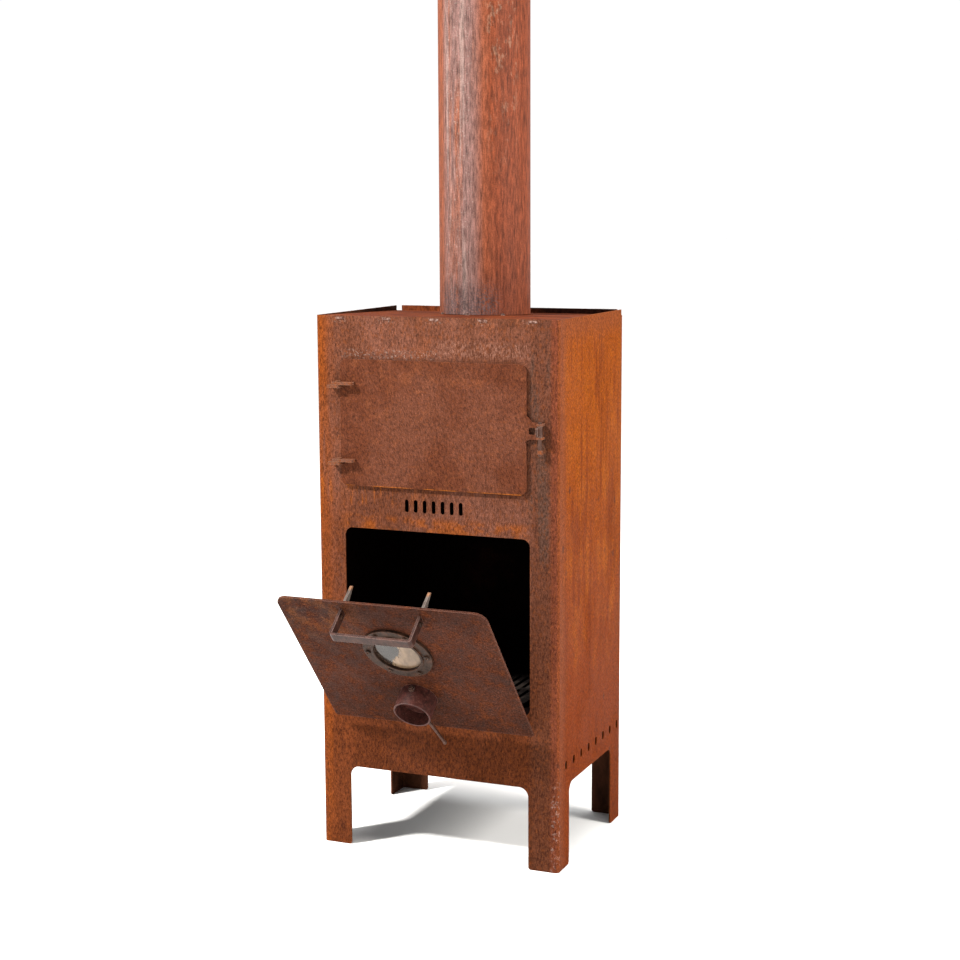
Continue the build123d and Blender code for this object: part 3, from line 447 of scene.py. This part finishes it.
def tube_material():
    """Air inlet and damper: dark maroon with pinkish rims that are partly rubbed and partly a
    painted highlight.
    """
    s = Shader("corten_tube", gloss=0.15)
    mottle = s.noise(90.0, 5.0, 0.7)
    color = s.mix(s.step(mottle, 0.40, 0.60), seen(112, 62, 54), seen(82, 44, 38))
    color = s.mix(s.both(s.step(s.noise(200.0, 4.0, 0.7, shift=(3, 3, 3)), 0.56, 0.66), 0.5),
                  color, seen(146, 98, 84))
    color = s.shade(color, s.noise(500.0, 4.0, 0.65), 0.5)
    # Pinkish rims: partly wear, partly a painted edge highlight
    color = s.mix(s.times(s.edges(0.0014), 0.8), color, seen(176, 140, 134))
    return s.finish(color, 0.5, rust_height(s, 420.0), 0.0006)


def handled_steel_material():
    """Spindles and weld beads: smooth dark brown steel, pinkish on its edges as wear and partly as
    painted highlight.
    """
    s = Shader("worn_steel", gloss=0.2)
    tone = s.noise(75.0, 4.0, 0.6)
    color = s.mix(s.step(tone, 0.40, 0.60), seen(124, 88, 74), seen(96, 64, 52))
    color = s.shade(color, s.noise(300.0, 4.0, 0.7), 0.45)
    # Pinkish edges: partly wear, partly a painted edge highlight
    color = s.mix(s.times(s.edges(0.0012), 0.85), color, seen(206, 176, 164))
    return s.finish(color, 0.42, s.noise(500.0, 4.0, 0.6), 0.0003, 0.25)


def weld_material():
    """Tack welds: rust like the sheet round them, with pale spatter."""
    s = Shader("tack_weld_beads")
    ripple = s.noise(260.0, 4.0, 0.7)
    color = s.mix(s.step(ripple, 0.42, 0.58), seen(140, 92, 76), seen(178, 142, 128))
    return s.finish(s.shade(color, ripple, 0.6), 0.6, ripple, 0.0008)


def handle_material():
    """Door handle: brown satin steel with pink edges that are partly a painted highlight; bare grey
    horns with orange tips.
    """
    s = Shader("handle_steel", gloss=0.15)
    tone = s.noise(55.0, 4.0, 0.6)
    color = s.mix(s.step(tone, 0.40, 0.60), seen(96, 60, 48), seen(72, 44, 36))
    door_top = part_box("lower_door_plate")[1].z
    handle_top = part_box("door_handle")[1].z
    horn = s.step(s.z, door_top - 0.012, door_top - 0.004)
    scratches = s.noise(200.0, 4.0, 0.7, stretch=(1, 0.4, 0.4))
    bare = s.mix(s.step(scratches, 0.42, 0.58), seen(150, 138, 128), seen(104, 90, 82))
    color = s.mix(horn, color, bare)
    tip = s.step(s.z, handle_top - 0.008, handle_top - 0.002)
    color = s.mix(s.times(tip, 0.8), color, seen(196, 136, 90))
    color = s.shade(color, scratches, 0.35)
    # Pink edges: partly wear, partly a painted edge highlight
    color = s.mix(s.times(s.edges(0.0014), 0.9), color, seen(204, 168, 158))
    return s.finish(color, 0.40, s.noise(500.0, 4.0, 0.6), 0.0003, 0.25)


def fastener_material():
    """Window rings, bolts and screws: heat-darkened grey brown with brighter rims, partly wear and
    partly a painted highlight.
    """
    s = Shader("dark_fasteners", gloss=0.1)
    mottle = s.noise(120.0, 5.0, 0.7)
    color = s.mix(s.step(mottle, 0.42, 0.60), seen(82, 60, 48), seen(56, 40, 32))
    color = s.mix(s.both(s.step(s.noise(60.0, 4.0), 0.53, 0.64), 0.6), color, seen(118, 78, 58))
    color = s.shade(color, s.noise(600.0, 4.0, 0.7), 0.5)
    # Brighter rims: partly wear, partly a painted edge highlight
    color = s.mix(s.times(s.edges(0.0012), 0.9), color, seen(176, 120, 90))
    return s.finish(color, 0.48, rust_height(s, 520.0), 0.0005, 0.15)


def soot_material():
    """Inside sheets: sooty black with a trace of red rust."""
    s = Shader("inner_steel")
    haze = s.noise(14.0, 5.0, 0.65)
    color = s.mix(s.step(haze, 0.45, 0.70), seen(22, 10, 8), seen(48, 20, 13))
    color = s.shade(color, s.noise(300.0, 4.0, 0.7), 0.6)
    return s.finish(color, 0.85, rust_height(s), 0.0006)


def grate_material():
    """Sand-cast grate: rough black iron with ash in its grain."""
    s = Shader("cast_grate")
    grit = s.noise(700.0, 4.0, 0.7)
    color = s.mix(s.step(s.noise(30.0, 4.0), 0.48, 0.66), seen(34, 28, 26), seen(74, 64, 58))
    color = s.shade(color, grit, 0.5)
    return s.finish(color, 0.8, grit, 0.0006)


def wire_material():
    """Rack wire: dull steel, straw-coloured from heat in places."""
    s = Shader("rack_wire", gloss=0.4)
    heat = s.noise(20.0, 3.0)
    color = s.mix(s.step(heat, 0.40, 0.65), seen(170, 164, 158), seen(144, 118, 92))
    color = s.shade(color, s.noise(400.0, 3.0), 0.3)
    return s.finish(color, 0.38, s.noise(600.0, 3.0), 0.0002, 0.9)


def fireclay_material():
    """Baking stone: buff fireclay with iron specks and scorch marks."""
    s = Shader("fireclay")
    scorch = s.noise(9.0, 4.0, 0.6)
    color = s.mix(s.step(scorch, 0.50, 0.72), seen(200, 176, 142), seen(124, 96, 70))
    specks = s.step(s.cells(160.0), 0.14, 0.08)
    color = s.mix(s.times(specks, 0.7), color, seen(96, 66, 46))
    color = s.shade(color, s.noise(500.0, 4.0, 0.7), 0.25)
    return s.finish(color, 0.92, s.noise(350.0, 5.0, 0.7), 0.0008)


def glass_material():
    """Smoke-stained heatproof glass: grey soot on one side, a beige ash film on the other, split
    like a log behind the glass with a painted shaded side and a painted lit end.
    """
    s = Shader("window_glass", gloss=0.4)
    low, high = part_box("window_glass")
    centre = (low + high) / 2
    across = s.minus(s.x, centre.x)
    rise = s.minus(s.z, centre.z)
    streaks = s.noise(70.0, 5.0, 0.7, stretch=(1, 0.4, 0.4), shift=(1, 2, 3))
    slant = s.plus(s.minus(s.times(across, 1.0), s.times(rise, 0.6)),
                   s.times(s.minus(streaks, 0.5), 0.05))
    # Grey and beige split on a slant: soot and ash film, and also painted light and shade of a log
    # behind the glass, grey its shaded side and beige its lit end
    ash = s.step(slant, -0.004, 0.006)
    grey = s.shade(seen(74, 68, 64), s.noise(50.0, 5.0, 0.65), 0.5)
    beige = s.shade(seen(176, 146, 116), streaks, 0.5)
    color = s.mix(ash, grey, beige)
    rim = s.step(s.math("SQRT", s.plus(s.times(across, across), s.times(rise, rise))),
                 0.030, 0.044)
    color = s.mix(s.times(rim, 0.5), color, seen(96, 68, 48))
    s.surface.inputs["Alpha"].default_value = 0.90
    s.surface.inputs["IOR"].default_value = 1.5
    return s.finish(color, s.between(ash, 0.08, 0.30), streaks, 0.0001)


def seal_material():
    """Woven fibre rope seal."""
    s = Shader("rope_seal")
    weave = s.noise(900.0, 3.0, 0.6)
    color = s.shade(seen(132, 124, 114), weave, 0.6)
    return s.finish(color, 0.95, weave, 0.0005)


MATERIALS = {
    "corten_body": body_material(),
    "corten_top": top_material(),
    "corten_pipe": pipe_material(),
    "corten_upper_door": upper_door_material(),
    "corten_lower_door": lower_door_material(),
    "corten_tube": tube_material(),
    "corten_small": small_part_material(),
    "worn_steel": handled_steel_material(),
    "dark_fasteners": fastener_material(),
    "inner_steel": soot_material(),
    "cast_grate": grate_material(),
    "rack_wire": wire_material(),
    "fireclay": fireclay_material(),
    "window_glass": glass_material(),
    "rope_seal": seal_material(),
}
SPECIAL = {
    "rear_panel": rear_panel_material(),
    "door_handle": handle_material(),
    "tack_welds": weld_material(),
}


def dress_cad_nodes():
    """Give every CAD node the material of its slot, or its own."""
    for part in frame["record"]["subparts"]:
        node = NODES[part["node"]]
        material = SPECIAL.get(part["node"], MATERIALS[part["material_slot"]])
        node.data.materials.clear()
        node.data.materials.append(material)
        for polygon in node.data.polygons:
            polygon.material_index = 0


# ---- Lights, floor and camera ------------------------------------------------------------
def add_light(kind, name, place, target, power, tint, **shape):
    data = bpy.data.lights.new(name, kind)
    data.energy = power
    data.color = tint
    for key, value in shape.items():
        setattr(data, key, value)
    light = bpy.data.objects.new(name, data)
    light.location = place
    light.rotation_euler = (Vector(target) - Vector(place)).to_track_quat("-Z", "Y").to_euler()
    SCENE.collection.objects.link(light)


def add_studio():
    """White near the horizon, dimmer above; key from the upper left, fill from the right."""
    world = bpy.data.worlds.new("studio")
    world.use_nodes = True
    tree = world.node_tree
    coords = tree.nodes.new("ShaderNodeTexCoord")
    split = tree.nodes.new("ShaderNodeSeparateXYZ")
    fade = tree.nodes.new("ShaderNodeMapRange")
    fade.interpolation_type = "SMOOTHSTEP"
    for key, number in (("From Min", 0.16), ("From Max", 0.45), ("To Min", 1.03), ("To Max", 0.30)):
        fade.inputs[key].default_value = number
    background = tree.nodes["Background"]
    tree.links.new(coords.outputs["Generated"], split.inputs[0])
    tree.links.new(split.outputs[2], fade.inputs["Value"])
    tree.links.new(fade.outputs["Result"], background.inputs["Strength"])
    background.inputs["Color"].default_value = (1.0, 1.0, 1.0, 1.0)
    SCENE.world = world
    add_light("AREA", "key_light", (-2.5, -2.7, 3.9), (0.0, FRONT, 0.75), 500.0,
              (1.0, 0.98, 0.95), shape="DISK", size=0.55)
    add_light("AREA", "side_light", (3.9, -0.4, 2.3), (SIDE, 0.0, 0.6), 260.0,
              (1.0, 0.97, 0.93), shape="DISK", size=1.4)
    add_light("SUN", "top_light", (0.0, 0.0, 4.0), (0.0, 0.0, 0.0), 2.5,
              (1.0, 1.0, 1.0), angle=math.radians(50.0))
    SCENE.view_settings.view_transform = "Standard"


FLOOR_REACH = 60.0


def add_floor():
    """Plain pale floor, far larger than the view."""
    mesh = bpy.data.meshes.new("floor")
    corners = [(x * FLOOR_REACH, y * FLOOR_REACH, 0)
               for x, y in ((-1, -1), (1, -1), (1, 1), (-1, 1))]
    mesh.from_pydata(corners, [], [(0, 1, 2, 3)])
    floor = bpy.data.objects.new("floor", mesh)
    SCENE.collection.objects.link(floor)
    shader = Shader("pale_floor")
    tone = shader.shade((0.90, 0.90, 0.89, 1.0), shader.noise(3.0, 3.0), 0.01)
    mesh.materials.append(shader.finish(tone, 0.9))


CAMERA_PLACE = (1.3499, -3.1774, 1.2120)
CAMERA_TURNS = (22.806, 8.577, -0.250)        # degrees round, down and rolled
CAMERA_LENS, CAMERA_SENSOR = 68.43, 36.0      # millimetres
CAMERA_REACH = 200.0

def add_camera():
    """Camera to the front right, a little above the body, looking slightly down."""
    azimuth, tilt, roll = (math.radians(angle) for angle in CAMERA_TURNS)
    forward = Vector((-math.sin(azimuth) * math.cos(tilt), math.cos(azimuth) * math.cos(tilt),
                      -math.sin(tilt)))
    level_right = Vector((math.cos(azimuth), math.sin(azimuth), 0.0))
    level_up = level_right.cross(forward)
    right = level_right * math.cos(roll) + level_up * math.sin(roll)
    up = level_up * math.cos(roll) - level_right * math.sin(roll)
    data = bpy.data.cameras.new("camera")
    data.lens = CAMERA_LENS
    data.sensor_width = CAMERA_SENSOR
    data.clip_end = CAMERA_REACH
    camera = bpy.data.objects.new("camera", data)
    turn = Matrix((right, up, -forward)).transposed()
    camera.matrix_world = Matrix.Translation(CAMERA_PLACE) @ turn.to_4x4()
    SCENE.collection.objects.link(camera)
    SCENE.camera = camera


dress_cad_nodes()
add_studio()
add_floor()
add_camera()
bpy.context.view_layer.update()
